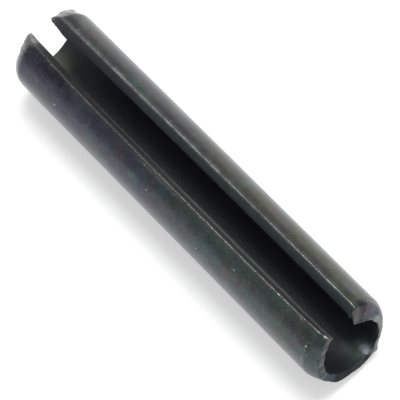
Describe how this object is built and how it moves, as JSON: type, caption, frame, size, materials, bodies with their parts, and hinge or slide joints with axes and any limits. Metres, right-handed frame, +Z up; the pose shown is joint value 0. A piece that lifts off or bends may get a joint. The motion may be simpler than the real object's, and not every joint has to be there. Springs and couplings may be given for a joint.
{
  "type": "spring roll pin",
  "caption": "Open steel tube rolled from strip, slotted along its whole length and drawn in at both ends, which springs tight in a drilled hole to fix or hinge two parts.",
  "frame": {"origin": "on the pin's axis, in the middle of its straight shank", "axes": "+X along the pin towards the end whose bore is drawn in with the nose, +Z straight up out of the slot, as the pin lies at rest"},
  "size_m": [0.0329, 0.0064, 0.0062],
  "materials": {
    "blackened_spring_steel": "oil-blackened, dull, with bare worn edges"
  },
  "bodies": {
    "root": {"spring_pin": "blackened_spring_steel"}
  },
  "joints": []
}
